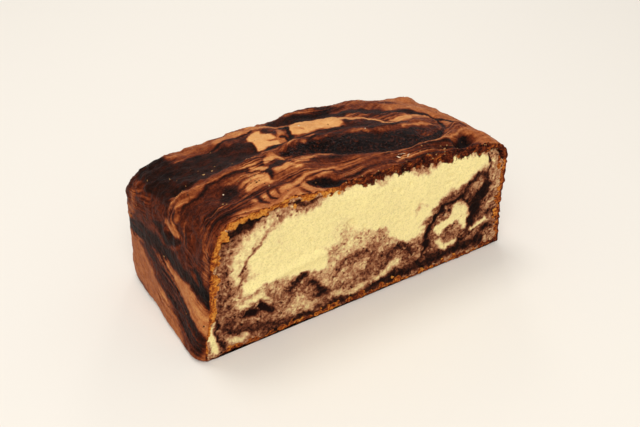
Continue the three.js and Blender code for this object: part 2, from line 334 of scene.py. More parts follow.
# Marbling of the left wall: the same, with paths of (y, z, half width).
leftPaint = {
    "maroon": (0.33, 0.4, 0.25, 3, [(0, 58, 14), (40, 62, 16), (95, 62, 14)]),
    "streak at the shoulder": (0.52, 0.8, 0.2, 1.5, [(10, 74, 2), (4, 62, 3), (2, 50, 2)]),
    "streak at the shoulder, second": (0.5, 0.7, 0.2, 1.2, [(30, 76, 1.2), (33, 68, 1.6), (38, 62, 1.6)]),
    "tan lens": (0.62, 0.4, 0.2, 1, [(42, 63, 1.8), (35, 62, 2.6), (29, 60, 1.6)]),
    "brown at the back": (0.52, 0.5, 0.2, 2, [(78, 68, 3), (76, 56, 4), (84, 48, 3)]),
    "dark lens": (0.14, 0.1, 0.2, 1, [(54, 57, 1.6), (42, 54, 3.6), (30, 55, 3), (25, 58, 1)]),
    "outline of the lens": (0.4, 0.1, 0.2, 0.6,
        [(57, 58, 0.6), (54, 52, 0.7), (42, 48, 0.6), (30, 50, 0.6)]),
    "tan area": (0.61, 0.12, 0.2, 1.6, [(92, 18, 15), (76, 18, 15), (62, 14, 12), (44, 9, 9)]),
    "tan area, front": (0.62, 0.7, 0.2, 1.5, [(44, 9, 8), (30, 6, 6), (20, 3, 4)]),
    "spot on the tan area": (0.5, 0.2, 0.2, 1.2, [(68, 25, 0.8), (65, 24, 1.2)]),
    "dark band": (0.15, 0.3, 0.2, 1.4,
        [(92, 37, 5), (76, 41, 5), (60, 43, 4.5), (40, 45, 4), (18, 44, 3.4), (-2, 40, 3)]),
    "dark stripe": (0.2, 0.55, 0.25, 1.4,
        [(66, 38, 2.6), (50, 33, 4), (34, 26, 6), (18, 19, 8), (2, 13, 9)]),
    "pale lines in the stripe": (0.42, 0.3, 0.2, 0.6, [(54, 36, 0.5), (36, 30, 0.5), (16, 22, 0.5)]),
    "orange wedge": (0.69, 0.25, 0.2, 0.9,
        [(40, 39.5, 0.6), (30, 37, 2.6), (18, 34.5, 4.6), (6, 29, 6.4), (-2, 24, 7)]),
    "shade in the wedge": (0.56, 0.2, 0.2, 1.2, [(14, 30, 0.7), (6, 26, 0.8)]),
    "dark hook": (0.08, 0.2, 0.3, 0.9, [(12, 52, 1), (6, 48, 1.8), (1, 42, 2), (-1, 36, 1.6)]),
}

# Marbling of the back wall and the right wall, which the batter gives in the same manner.
backPaint = {
    "brown": (0.52, 0.6, 0.2, 4, [(-90, 20, 16), (-40, 22, 20), (20, 16, 14), (90, 22, 16)]),
    "tan area": (0.7, 0.4, 0.2, 2, [(-78, 16, 9), (-52, 20, 12), (-30, 12, 9), (-14, 8, 5)]),
    "tan area, right": (0.68, 0.4, 0.2, 2, [(34, 10, 7), (60, 18, 11), (84, 14, 9)]),
    "dark band": (0.16, 0.35, 0.2, 1.6,
        [(-96, 42, 4), (-62, 47, 6), (-24, 40, 5), (8, 28, 7), (30, 30, 4), (50, 40, 5), (96, 44, 4)]),
    "dark stripe": (0.2, 0.5, 0.2, 1.6, [(-18, 26, 2), (0, 14, 4), (14, 4, 5)]),
    "tan tongue": (0.72, 0.3, 0.2, 1.2, [(-70, 58, 1), (-44, 56, 3.4), (-20, 52, 2.4), (-6, 46, 0.8)]),
    "tan tongue, right": (0.68, 0.4, 0.2, 1.2, [(20, 52, 1), (38, 54, 3.4), (60, 56, 3), (80, 60, 1)]),
    "dark lens": (0.14, 0.1, 0.2, 1.2, [(-2, 60, 1.2), (12, 62, 3.6), (26, 64, 1.4)]),
}
rightPaint = {
    "brown": (0.6, 0.4, 0.2, 4, [(-4, 30, 22), (40, 40, 20), (95, 30, 22)]),
    "tan area": (0.7, 0.35, 0.2, 2, [(4, 16, 10), (24, 22, 13), (44, 14, 10)]),
    "dark band": (0.18, 0.4, 0.2, 1.6, [(14, 44, 2), (34, 46, 5), (60, 38, 6), (94, 24, 5)]),
    "dark stripe": (0.2, 0.5, 0.2, 1.6, [(50, 26, 2), (66, 14, 4), (78, 4, 4)]),
    "dark tongue": (0.16, 0.2, 0.2, 1.4, [(40, 66, 1), (56, 60, 3.4), (74, 60, 1.6)]),
}

# The cut face: how much cocoa is in the crumb (0 yellow, 1 black), soft edge, path of (x, z, half width).
cocoaPaint = {
    "mottled lower half": (0.55, 5,
        [(-80, 14, 14), (-50, 14, 15), (-20, 20, 17), (10, 14, 14), (40, 14, 14), (80, 22, 18)]),
    "mottled left side": (0.55, 4, [(-86, 30, 7), (-83, 50, 8), (-78, 67, 7), (-66, 77, 3)]),
    "mottled centre rise": (0.33, 6, [(-20, 30, 10), (-10, 42, 6), (-6, 48, 2)]),
    "mottled right side": (0.6, 4, [(50, 40, 5), (66, 47, 5), (80, 48, 8), (84, 30, 10)]),
    "yellow, left": (0.04, 3, [(-58, 52, 11), (-40, 56, 15), (-20, 62, 14), (0, 62, 13)]),
    "yellow, knife edge": (0.03, 1.6, [(-68, 40, 4), (-50, 42, 4), (-34, 38, 5), (-28, 40, 6)]),
    "yellow, middle": (0.04, 3, [(0, 62, 13), (20, 58, 16), (34, 52, 15)]),
    "yellow, down stroke": (0.05, 2.5, [(22, 46, 10), (30, 36, 8), (36, 32, 4.5)]),
    "yellow, right": (0.04, 2.5, [(34, 58, 13), (56, 62, 10), (74, 64, 7), (80, 64, 4)]),
    "pale haze": (0.25, 5, [(-14, 52, 4), (-8, 42, 5), (0, 38, 4)]),
    "greyish zone": (0.17, 2, [(-76, 46, 2.2), (-73, 58, 3.6), (-66, 67, 3.6), (-58, 71, 1.6)]),
    "thin dark line": (0.66, 0.9, [(-74, 42, 0.7), (-71, 52, 0.7), (-66, 60, 0.6), (-60, 64, 0.4)]),
    "tan area": (0.34, 4, [(-48, 14, 5), (-36, 13, 5)]),
    "cream arc": (0.22, 2.5, [(-27, 14, 2), (-12, 10, 2), (4, 10, 2.2), (16, 14, 2.4), (25, 18, 2)]),
    "cream by the void": (0.16, 1.6, [(-74, 28, 1.5), (-64, 31, 2), (-57, 26, 1.4)]),
    "swirl, dark": (0.61, 2.5, [(-20, 26, 1.6), (-10, 32, 2), (2, 32, 2), (10, 26, 2), (12, 18, 1.4)]),
    "swirl, pink": (0.4, 2.5, [(-12, 22, 3), (0, 24, 3)]),
    "swirl, inner": (0.57, 2, [(-6, 18, 1.4), (4, 18, 1.4), (8, 14, 1.2)]),
    "arch": (0.74, 2, [(17, 20, 1.8), (20, 27, 2.2), (26, 28, 2.2), (30, 21, 1.8)]),
    "speckles, left": (0.82, 2.5, [(-46, 27, 1.6), (-39, 31, 2.4)]),
    "speckles, middle": (0.84, 2.5, [(-33, 25, 2), (-28, 18, 2.4), (-24, 13, 1.6)]),
    "dark low band": (0.84, 2.5,
        [(-60, 4, 1.5), (-30, 5, 2), (10, 6, 3), (40, 9, 3.6), (62, 9, 3.6), (84, 8, 3.4)]),
    "ring": (0.62, 2,
        [(41, 14, 2), (44, 22, 2.6), (45, 34, 2.8), (52, 43, 3), (62, 47, 2.8), (71, 45, 3), (76, 36, 3)]),
    "dark line of the ring": (0.92, 1,
        [(40, 14, 0.8), (43, 24, 1), (47, 36, 1.2), (55, 43, 1.3), (66, 44, 1), (71, 38, 1)]),
    "ring, lower": (0.76, 2, [(52, 12, 2), (62, 12, 2.2), (72, 14, 2), (75, 26, 3)]),
    "ring cream": (0.1, 1.6, [(53, 30, 3.4), (62, 37, 4), (68, 33, 3.6), (70, 24, 2.6)]),
    "ring cream, lower": (0.14, 1.6, [(51, 20, 2.2), (56, 14, 1.8), (64, 14, 1.6)]),
    "ring core": (0.52, 1.6, [(58, 20, 3), (62, 24, 3.6), (65, 20, 2.6)]),
    "heavy cocoa": (0.88, 2.4, [(75, 24, 3), (78, 32, 4.8), (81, 42, 4.4), (84, 48, 2.4)]),
    "black blob at the right": (0.92, 1.5, [(75, 35, 2.6), (79, 33, 3.2)]),
    "black streak at the right": (0.9, 1.2, [(81.5, 51, 1.4), (79.5, 43, 2)]),
    "pink in the corner": (0.46, 2, [(74, 48, 2), (80, 51, 2)]),
    "dark crown of the corner": (0.86, 1.4, [(70, 52, 1), (77, 54, 1.2), (84, 54, 1.2)]),
    "cream bits": (0.14, 1.2, [(77, 20, 1.4), (84, 20, 1.6), (89, 22, 1.6)]),
    "black bit": (0.9, 1.4, [(86, 15, 2), (90, 16, 1.6)]),
    "cream strip": (0.5, 1.4, [(89, 30, 1.2), (90, 48, 1.8), (88, 66, 1.8)]),
    "dark line by the strip": (0.84, 1, [(85, 50, 0.8), (84, 60, 0.9), (83, 68, 0.8)]),
    # Painted shade in part: the black blobs lie over the open void and the small void, and are painted near
    # black for the shade inside them as well as the cocoa round them.
    "black blob": (0.9, 1.8, [(-72, 20, 2.4), (-66, 21, 4.2), (-60, 20, 3.2), (-57, 17, 1.4)]),
    "crumb in the blob": (0.48, 0.8, [(-68, 22.3, 0.5), (-64.5, 20.6, 0.8), (-62.5, 19.2, 0.4)]),
    "black blob, small": (0.88, 1.2, [(-74, 10, 1.4), (-71, 9, 1.4)]),
    "dark lower left": (0.7, 2.5, [(-82, 20, 3), (-80, 12, 2.4), (-66, 8, 3), (-50, 6, 2)]),
    "cocoa under the crust": (0.84, 1.4,
        [(-80.5, 68, 1.4), (-74.5, 73, 2.8), (-67, 76, 3), (-60, 78.2, 1.8)]),
    "cocoa dots": (0.82, 1.2, [(-55, 76.5, 1.2), (-46, 78.5, 1.2), (-36, 78.5, 0.9), (-28, 78.5, 0.6)]),
    "corner crumb": (0.05, 1.2, [(-91, 8, 2.6), (-90.5, 16, 2.2), (-89, 24, 1.2)]),
    "line round the corner": (0.9, 0.9, [(-87.6, 28, 0.6), (-88, 14, 0.7), (-84, 6, 0.7), (-76, 3.4, 0.7)]),
    "grey swirl": (0.24, 1.4, [(-84, 11, 1.4), (-79, 7.5, 1.8), (-72, 5.5, 1.2)]),
    "dimples": (0.1, 2.5, [(-54, 58, 2), (-48, 54, 1.5)]),
    "faint swirl": (0.28, 1.6, [(34, 46, 1.4), (38, 51, 1.2), (42, 49, 1)]),
}

# Loose crumbs and dry flakes: sizes in millimetres, densities per square metre, spots as (x, y, radius).
looseBits = {
    "shader": {"Roughness": 0.8, "Specular IOR Level": 0.2},
    "crumbSpots": [(-86, 44, 5), (-82, 52, 5), (-66, 52, 6), (-52, 22, 6), (-70, 16, 5)],
    "flakeSpots": [(22, 37, 2.2), (52, 32, 2.2), (28, 6, 2.6), (-4, 59, 1.4), (-46, 42, 1.3), (-68, 24, 1.3)],
    "kinds": {
        "cake_crumbs": {
            "Where": "crumbs", "Density": 42000.0, "Smallest": (0.4, 0.35, 0.3), "Largest": (1.4, 1.1, 0.9),
            "Tilt": 3.1, "Seed": 4, "patch": 4.0,
            "stops": [(0.38, "#1c0b05"), (0.48, "#4a2411"), (0.56, "#7d4f2a"), (0.64, "#b98f5c")],
        },
        "dry_crust_flakes": {
            "Where": "flakes", "Density": 140000.0, "Smallest": (0.9, 0.5, 0.15), "Largest": (2.6, 1.0, 0.25),
            "Tilt": 0.5, "Seed": 9, "patch": 3.0,
            "stops": [(0.3, "#b98d62"), (0.6, "#e6cfae")],
        },
    },
}

# The baked crust that shows as a band round the cut face: widths in millimetres, tones from 0 to 1.
rim = {
    "goldWidth": 4.3, "cornerWidth": 1.1, "baseWidth": 4.2, "rightWidth": 4.3,
    "tornWidth": 6.2, "tornFrom": -14.0, "lipWidth": 4.6, "lipOverhang": 1.3,
    "tone": 0.90, "tornShade": 0.57, "rightShade": 0.20, "baseShade": 0.24, "lipLight": 0.16,
    "edgeShade": 0.36, "gapPaintedShade": 0.9,
    # The gap under the lip, as points (x, z, half width). It is pushed in, and its darkness is painted shade.
    "gap": [(85, 70, 0.3), (89.5, 68.3, 0.7), (92.8, 64.4, 0.8), (93.6, 61, 0.3)],
}


def paint(fields, names, a, b, where, strokes):
    for *values, edge, path in strokes.values():
        cover = smoothStep(-edge, edge, reachInside(a, b, path)) * where
        for name, value in zip(names, values):
            fields[name] += (value - fields[name]) * cover


# Works out the painted fields of every vertex.
def marbling(points, normals, onCut):
    x, y, z = points.T
    wander = np.stack([waves(points, 17, 11), waves(points, 17, 12), waves(points, 17, 13)], 1)
    shiver = np.stack([waves(points, 5, 14), waves(points, 5, 15), waves(points, 5, 16)], 1)
    bent = points + 0.7 * wander + 0.28 * shiver
    bx, by, bz = bent.T
    up = smoothStep(0.25, 0.6, normals[:, 2])
    ends = (1 - up) * smoothStep(0.5, 0.8, np.abs(normals[:, 0]))
    left, right = ends * (x < 0), ends * (x > 0)
    back = (1 - up) * smoothStep(0.3, 0.6, normals[:, 1])
    fields = {
        "tone": 0.40 + 0.05 * waves(points * [0.5, 1, 1.3], 20, 21),
        "streaks": np.full(len(x), 0.8),
        "gloss": np.full(len(x), 0.25),
        "cocoa": np.full(len(x), 0.42),
    }
    names = ("tone", "streaks", "gloss")
    paint(fields, names, by, bz, left, leftPaint)
    paint(fields, names, bx, bz, back, backPaint)
    paint(fields, names, by, bz, right, rightPaint)
    paint(fields, names, bx, by, up, topPaint)
    soft = points + 1.2 * wander + 0.5 * shiver
    paint(fields, ("cocoa",), soft[:, 0], soft[:, 2], onCut * 1.0, cocoaPaint)

    # Streaks run round the pools and plates, and along the walls they follow the layers of the batter.
    across = y + 2.2 * waves(points, 30, 31)
    for name, push, fade in flowRound:
        across += push * np.exp(np.minimum(reachInside(x, y, topPaint[name][-1]), 0) / fade)
    fields["streaks"] *= 0.35 + 0.65 * smoothStep(-0.7, 0.9, waves(points, 24, 71))
    fields["streaks"] *= 1 - 0.6 * np.clip(back + right, 0, 1)
    wall = z - 0.32 * y + 2.5 * waves(points, 34, 32)
    onWall = (1 - smoothStep(46, 68, z)) * (1 - up)
    across = across * (1 - onWall) + wall * onWall
    along = x + y * (left + right) + 3 * waves(points, 25, 33)
    fields["flow"] = np.stack([along, across, 0.2 * z], 1)
    return fields


# Fine relief that the plain form leaves out, in millimetres. How rough the smooth and the cocoa crumb are
# is a factor, pores is their number, and a pore's depth is a share of its radius.
relief = {
    "streaks": 0.17, "blisters": 0.06, "streakyBlisters": 0.10, "darkGrooves": 0.5,
    "crags": 0.2, "cornerCrags": 0.25, "cornerNicks": 0.22,  # the left end of the top is the craggiest
    "smoothCrumb": 0.5, "cocoaCrumb": 1.3, "crumbs": 0.13, "lumps": 0.12,
    "pores": 420, "poreRadius": (0.8, 1.7), "poreDepth": 0.55,
    "rimGroove": 0.8, "rimGrooveWaves": 0.5, "rimGrooveWidth": 1.1, "rimWaves": 0.22, "rimEdge": 0.3,
    "gap": 1.4, "baseTuck": 1.1, "cutTuck": 1.32, "tuckHeight": 2.2,
}


def ragged(points, normals, fields, onCut, rimShare, inset):
    x, y, z = points.T
    flow, streaks = fields["flow"], fields["streaks"]
    streakRidge = waves(flow / [18, 1.5, 9], 1.0, 41) + 0.6 * waves(flow / [9, 0.9, 5], 1.0, 42)
    height = relief["streaks"] * streakRidge * streaks
    blisters = waves(points, 5.5, 43) + 0.7 * waves(points, 2.6, 44)
    height += (relief["blisters"] + relief["streakyBlisters"] * streaks) * blisters
    corner = smoothStep(-62, -88, x)
    crags = relief["crags"] + relief["cornerCrags"] * corner
    height += crags * waves(points, 8, 45) * smoothStep(50, 60, z)
    height += relief["cornerNicks"] * corner * waves(points, 3.4, 46) * smoothStep(55, 66, z)
    height -= relief["darkGrooves"] * smoothStep(0.30, 0.05, fields["tone"]) * smoothStep(0.2, 0.5, streaks)
    height[onCut] = 0
    lift = height * smoothStep(0.5, 3, z)
    moved = points + normals * lift[:, None]

    rough = relief["smoothCrumb"] + relief["cocoaCrumb"] * smoothStep(0.2, 0.6, fields["cocoa"])
    crumb = rough * (relief["crumbs"] * waves(points, 2.4, 51) + relief["lumps"] * waves(points, 4.5, 52))
    draw = np.random.default_rng(53)
    face = np.nonzero(onCut & (rimShare < 1))[0]
    for _ in range(relief["pores"]):
        centre = points[draw.choice(face)]
        radius = draw.uniform(*relief["poreRadius"])
        near = face[(np.abs(x[face] - centre[0]) < radius) & (np.abs(z[face] - centre[2]) < radius)]
        share = np.hypot(x[near] - centre[0], z[near] - centre[2]) / radius
        depth = relief["poreDepth"] * radius * smoothStep(1, 0.2, share)
        crumb[near] -= depth * draw.uniform(0.3, 0.9)
    high = smoothStep(40, 70, z)
    groove = np.exp(-((inset - rim["goldWidth"] - 0.6) / relief["rimGrooveWidth"]) ** 2) * high
    crumb -= groove * (relief["rimGroove"] + relief["rimGrooveWaves"] * waves(points, 5, 54))
    crumb += relief["rimWaves"] * smoothStep(2.6, 0.6, inset) * waves(points, 3.2, 55) * smoothStep(4, 12, z)
    moved[onCut, 1] -= crumb[onCut]
    lip = smoothStep(80, 88, x) * smoothStep(60, 66, z) * smoothStep(5, 0, y)
    lip *= np.where(onCut, smoothStep(3.4, 2.2, inset), 1)
    moved[:, 1] -= rim["lipOverhang"] * lip
    moved[onCut, 1] += relief["gap"] * smoothStep(-0.3, 0.6, reachInside(x[onCut], z[onCut], rim["gap"]))
    atRim = onCut & (rimShare > 1 - 1e-6) & (z > 3)
    moved[atRim, 2] += relief["rimEdge"] * waves(points[atRim], 3.5, 56)
    inwards = np.where(onCut[:, None], [0.0, relief["cutTuck"]], -relief["baseTuck"] * normals[:, :2])
    moved[:, :2] += inwards * smoothStep(relief["tuckHeight"], 0, z)[:, None]
    moved[:, 2] = np.where(points[:, 2] <= 0, 0, np.maximum(moved[:, 2], 0))
    return moved


# Distance of each point of the cut face from its rim; all other points count as far from it.
def insetFrom(points, onCut, rimShare):
    border = points[onCut & (rimShare > 1 - 1e-6)][:, [0, 2]]
    inset = np.full(len(points), 50.0)
    face = np.nonzero(onCut)[0]
    for part in np.array_split(face, 40):  # in parts, which keeps the tables small
        gap = points[part][:, None, [0, 2]] - border[None]
        inset[part] = np.sqrt((gap ** 2).sum(2).min(1))
    return inset


def toLinear(hexColour):
    parts = [int(hexColour[i:i + 2], 16) / 255 for i in (1, 3, 5)]
    return [v / 12.92 if v <= 0.04045 else ((v + 0.055) / 1.055) ** 2.4 for v in parts] + [1.0]


# Gives a node its inputs: each is a value, a socket, or a node, which stands for its first output.
def feed(node, inputs):
    for name, value in inputs.items():
        if isinstance(value, bpy.types.Node):
            value = value.outputs[0]
        if isinstance(value, bpy.types.NodeSocket):
            node.id_data.links.new(value, node.inputs[name])
        else:
            node.inputs[name].default_value = value


def addNode(tree, kind, inputs=None, stops=None, **settings):
    node = tree.nodes.new(kind)
    for name, value in settings.items():
        setattr(node, name, value)
    feed(node, inputs or {})
    if stops:
        elements = node.color_ramp.elements
        elements.remove(elements[-1])
        elements[0].position = stops[0][0]
        elements[0].color = toLinear(stops[0][1])
        for position, colour in stops[1:]:
            elements.new(position).color = toLinear(colour)
    return node


def newMaterial(name, look):
    material = bpy.data.materials.new(name)
    material.use_nodes = True
    tree = material.node_tree
    tree.nodes.clear()
    shader = addNode(tree, "ShaderNodeBsdfPrincipled", look["shader"])
    addNode(tree, "ShaderNodeOutputMaterial", {"Surface": shader})
    return material, tree, shader


# Adds to a value each noise, centred on zero, times its strength and the mask that says where it counts.
def stirred(tree, value, parts):
    for noise, strength, mask in parts:
        centred = addNode(tree, "ShaderNodeMath", {0: noise, 1: strength, 2: -strength / 2},
                          operation="MULTIPLY_ADD")
        value = addNode(tree, "ShaderNodeMath", {0: centred, 1: mask, 2: value}, operation="MULTIPLY_ADD")
    return value


crustLook = {
    "stops": [(0, "#0a0302"), (0.14, "#1d0b05"), (0.28, "#3d1508"), (0.42, "#662a13"), (0.54, "#8b4722"),
              (0.66, "#aa6336"), (0.80, "#c6864c"), (1.0, "#dda566")],
    "streakWidth": 1.7, "streakLength": 42.0, "streakStrength": 1.7,  # width and length in mm
    # Noises: size in mm, detail, roughness, distortion.
    "noises": {"blotch": (4.0, 4.0, 0.6, 0.0), "grain": (1.0, 3.0, 0.5, 0.0),
               "blister": (1.5, 3.0, 0.65, 0.0)},
    "blotchStrength": 0.34, "grainStrength": 0.15, "blisterStrength": 1.1,
    # The shader's inputs on the dull crust and in the sticky crack.
    "shine": {"Roughness": (0.55, 0.2), "Specular IOR Level": (0.035, 0.06)}, "dullGloss": 0.25,
    # Grain and blisters as high as this against the streaks; the bump as a whole in mm.
    "grainHeight": 0.6, "blisterHeight": 8.0, "bumpHeight": 0.6, "bumpStrength": 0.7,
    "shader": {"Sheen Weight": 0.02, "Sheen Roughness": 0.45},  # dry sugar greys the skin at low angles
}


def bakedCrust():
    # Baked batter skin: butter and sugar leave a thin satin film, cocoa batter dries darker and duller, and
    # the crack stays sticky and blistered, so that it catches small bright glints.
    look = crustLook
    material, tree, shader = newMaterial("baked_marbled_crust", look)
    tone, streaks, gloss = [addNode(tree, "ShaderNodeAttribute", attribute_name=name).outputs["Fac"]
                            for name in ("tone", "streaks", "gloss")]
    flow = addNode(tree, "ShaderNodeAttribute", attribute_name="flow").outputs["Vector"]
    place = addNode(tree, "ShaderNodeTexCoord").outputs["Object"]
    drawn = addNode(tree, "ShaderNodeMapping",
                    {"Vector": flow, "Scale": (1 / look["streakLength"], 1 / look["streakWidth"], 0.1)})
    bands = addNode(tree, "ShaderNodeTexNoise", {"Vector": drawn, "Scale": 1.0, "Distortion": 0.12})
    blotch, grain, blister = [
        addNode(tree, "ShaderNodeTexNoise",
                {"Vector": place, "Scale": 1 / (size * metresPerMm), "Detail": detail,
                 "Roughness": roughness, "Distortion": distortion})
        for size, detail, roughness, distortion in look["noises"].values()
    ]
    mixed = stirred(tree, tone, [(bands, look["streakStrength"], streaks),
                                 (blotch, look["blotchStrength"], 1.0), (grain, look["grainStrength"], 1.0),
                                 (blister, look["blisterStrength"], gloss)])
    colour = addNode(tree, "ShaderNodeValToRGB", {"Fac": mixed}, look["stops"])
    for socket, (matt, glossy) in look["shine"].items():
        level = addNode(tree, "ShaderNodeMapRange", {"Value": gloss, "From Min": look["dullGloss"],
                                                     "From Max": 1.0, "To Min": matt, "To Max": glossy})
        feed(shader, {socket: level})
    height = stirred(tree, 0.0, [(bands, 1.0, streaks), (grain, look["grainHeight"], 1.0),
                                 (blister, look["blisterHeight"], gloss)])
    bump = addNode(tree, "ShaderNodeBump", {"Height": height, "Strength": look["bumpStrength"],
                                            "Distance": look["bumpHeight"] * metresPerMm})
    feed(shader, {"Base Color": colour, "Normal": bump})
    return material


crumbLook = {
    "stops": [(0.0, "#ffeca3"), (0.12, "#fbe6a3"), (0.23, "#e7ca8f"), (0.36, "#cc9c70"), (0.48, "#a66f4b"),
              (0.60, "#774029"), (0.72, "#442013"), (0.86, "#190905")],
    "rindStops": [(0.0, "#140703"), (0.32, "#47180b"), (0.58, "#82391a"), (0.80, "#b7621f"),
                  (1.0, "#d88d3a")],
    # Noises: size in mm, detail, roughness, distortion.
    "noises": {"pores": (0.9, 4.0, 0.7, 0.0), "mottle": (3.0, 4.0, 0.6, 0.9),
               "grit": (1.5, 2.0, 0.55, 0.6), "swirl": (9.0, 3.0, 0.5, 2.0)},
    # How much each noise stirs the two batters, the edge of the baked band and its tone.
    "batter": {"mottle": 0.8, "grit": 0.82, "pores": 0.45, "swirl": 0.7},
    "edge": {"mottle": 0.5, "grit": 0.8, "pores": 0.6}, "edgeRange": (0.42, 0.58),
    "band": {"pores": 1.2, "grit": 0.9, "mottle": 1.1, "swirl": 1.3},
    "mixing": 2.7, "mixingEverywhere": 0.1,  # the batters mix most where neither rules
    # Dots of cocoa: spacing in mm, radii of core and edge as shares of it, and the share of cells without.
    "dot": 2.4, "dotRadii": (0.14, 0.34), "dotsFrom": (0.58, 0.62), "dotStrength": 0.35,
    # Painted shade: the pores darken the colour down to this share, over this range of the pore noise.
    "paintedPoreShade": 0.76, "poreRange": (0.32, 0.54),
    "bumpHeight": 0.7, "bumpStrength": 0.8,  # height in mm
    "shader": {"Roughness": 0.9, "Specular IOR Level": 0.08},
}


def cakeCrumb():
    # Butter cake crumb: an open foam, dull and dry where the knife opened it, with cocoa batter folded in.
    look = crumbLook
    material, tree, shader = newMaterial("yellow_and_cocoa_crumb", look)
    cocoa, rind, rindTone = [addNode(tree, "ShaderNodeAttribute", attribute_name=name).outputs["Fac"]
                             for name in ("cocoa", "rind", "rindTone")]
    place = addNode(tree, "ShaderNodeTexCoord").outputs["Object"]
    noises = {
        name: addNode(tree, "ShaderNodeTexNoise",
                      {"Vector": place, "Scale": 1 / (size * metresPerMm), "Detail": detail,
                       "Roughness": roughness, "Distortion": distortion})
        for name, (size, detail, roughness, distortion) in look["noises"].items()
    }
    scale = 1 / (look["dot"] * metresPerMm)
    cells = addNode(tree, "ShaderNodeTexVoronoi", {"Vector": place, "Scale": scale}).outputs
    squared = addNode(tree, "ShaderNodeMath", {0: cocoa, 1: cocoa}, operation="MULTIPLY")
    between = addNode(tree, "ShaderNodeMath", {0: cocoa, 1: squared}, operation="SUBTRACT")
    mixing = addNode(tree, "ShaderNodeMath", {0: between, 1: look["mixing"], 2: look["mixingEverywhere"]},
                     operation="MULTIPLY_ADD")
    amount = stirred(tree, cocoa, [(noises[name], share, mixing) for name, share in look["batter"].items()])
    inner, outer = look["dotRadii"]
    dot = addNode(tree, "ShaderNodeMapRange", {"Value": cells["Distance"], "From Min": inner,
                                               "From Max": outer, "To Min": 1, "To Max": 0})
    low, high = look["dotsFrom"]
    chosen = addNode(tree, "ShaderNodeMapRange", {"Value": cells["Color"], "From Min": low, "From Max": high})
    dots = addNode(tree, "ShaderNodeMath", {0: dot, 1: chosen}, operation="MULTIPLY")
    dots = addNode(tree, "ShaderNodeMath", {0: dots, 1: mixing}, operation="MULTIPLY")
    amount = addNode(tree, "ShaderNodeMath", {0: dots, 1: look["dotStrength"], 2: amount},
                     operation="MULTIPLY_ADD")
    crumb = addNode(tree, "ShaderNodeValToRGB", {"Fac": amount}, look["stops"])
    edge = stirred(tree, rind, [(noises[name], share, 1.0) for name, share in look["edge"].items()])
    low, high = look["edgeRange"]
    edge = addNode(tree, "ShaderNodeMapRange", {"Value": edge, "From Min": low, "From Max": high})
    tone = stirred(tree, rindTone, [(noises[name], share, 1.0) for name, share in look["band"].items()])
    band = addNode(tree, "ShaderNodeValToRGB", {"Fac": tone}, look["rindStops"])
    face = addNode(tree, "ShaderNodeMix", {0: edge, 6: crumb, 7: band}, data_type="RGBA").outputs[2]
    # Painted shade: the colour is darkened in the pores, for the shade that falls into them.
    low, high = look["poreRange"]
    hollow = addNode(tree, "ShaderNodeMapRange", {"Value": noises["pores"], "From Min": low,
                                                  "From Max": high, "To Min": look["paintedPoreShade"]})
    shaded = addNode(tree, "ShaderNodeMix", {0: 1.0, 6: face, 7: hollow}, data_type="RGBA",
                     blend_type="MULTIPLY").outputs[2]
    bump = addNode(tree, "ShaderNodeBump", {"Height": noises["pores"], "Strength": look["bumpStrength"],
                                            "Distance": look["bumpHeight"] * metresPerMm})
    feed(shader, {"Base Color": shaded, "Normal": bump})
    return material


# How much baked crust shows on the cut, and how dark it is there: gold at the left, torn cocoa at the top.
def rindFields(points, inset):
    x, y, z = points.T
    torn = smoothStep(rim["tornFrom"] - 6, rim["tornFrom"] + 6, x) * smoothStep(62, 66, z)
    right = smoothStep(88, 91, x)
    lip = smoothStep(78, 88, x) * smoothStep(60, 65, z)
    low = smoothStep(9, 5, z)
    width = rim["goldWidth"] + (rim["tornWidth"] - rim["goldWidth"]) * torn
    width = width + (rim["rightWidth"] - width) * right
    width = width + (rim["baseWidth"] - width) * low
    width = width + (rim["lipWidth"] - width) * lip
    width = width + (rim["cornerWidth"] - width) * smoothStep(-84, -88, x) * smoothStep(30, 22, z)
    uneasy = (0.27 - 0.12 * torn) * waves(points, 7, 61) + (0.17 - 0.11 * torn) * waves(points, 3, 62)
    width = width * (1 + uneasy)
    soft = 0.9 + 2.1 * torn * (1 - lip)
    rind = smoothStep(soft, -soft, inset - width)
    tone = rim["tone"] - rim["tornShade"] * torn - rim["rightShade"] * right * (1 - torn)
    tone += rim["lipLight"] * lip - rim["baseShade"] * low
    tone -= rim["edgeShade"] * smoothStep(1.5, 0.2, inset) * (1 - torn)
    # Painted shade: the gap under the lip is darkened almost to black.
    tone -= rim["gapPaintedShade"] * smoothStep(-0.5, 0.5, reachInside(x, z, rim["gap"]))
    return rind, np.clip(tone, 0, 1)


# How thickly loose crumbs and dry flakes lie: most where the knife dragged them over the edge of the cut.
def looseFields(points, normals, onCut, rind):
    x, y, z = points.T
    up = smoothStep(0.3, 0.7, normals[:, 2])
    torn = onCut * smoothStep(rim["tornFrom"] - 4, rim["tornFrom"] + 6, x) * (rind > 0.4) * (z > 62)
    crumbs = 0.05 + 0.4 * smoothStep(12, 2, y) * up + 0.9 * torn
    patches = []
    for spots in (looseBits["crumbSpots"], looseBits["flakeSpots"]):
        near = sum(np.exp(-((x - a) ** 2 + (y - b) ** 2) / radius ** 2) for a, b, radius in spots)
        patches.append(up * near)
    crumbs = (crumbs + 0.9 * patches[0]) * smoothStep(2, 5, z) * np.where(onCut, torn, 1)
    return crumbs, patches[1] * (patches[1] > 0.2)


def addObject(name, data):
    item = bpy.data.objects.new(name, data)
    bpy.context.scene.collection.objects.link(item)
    return item


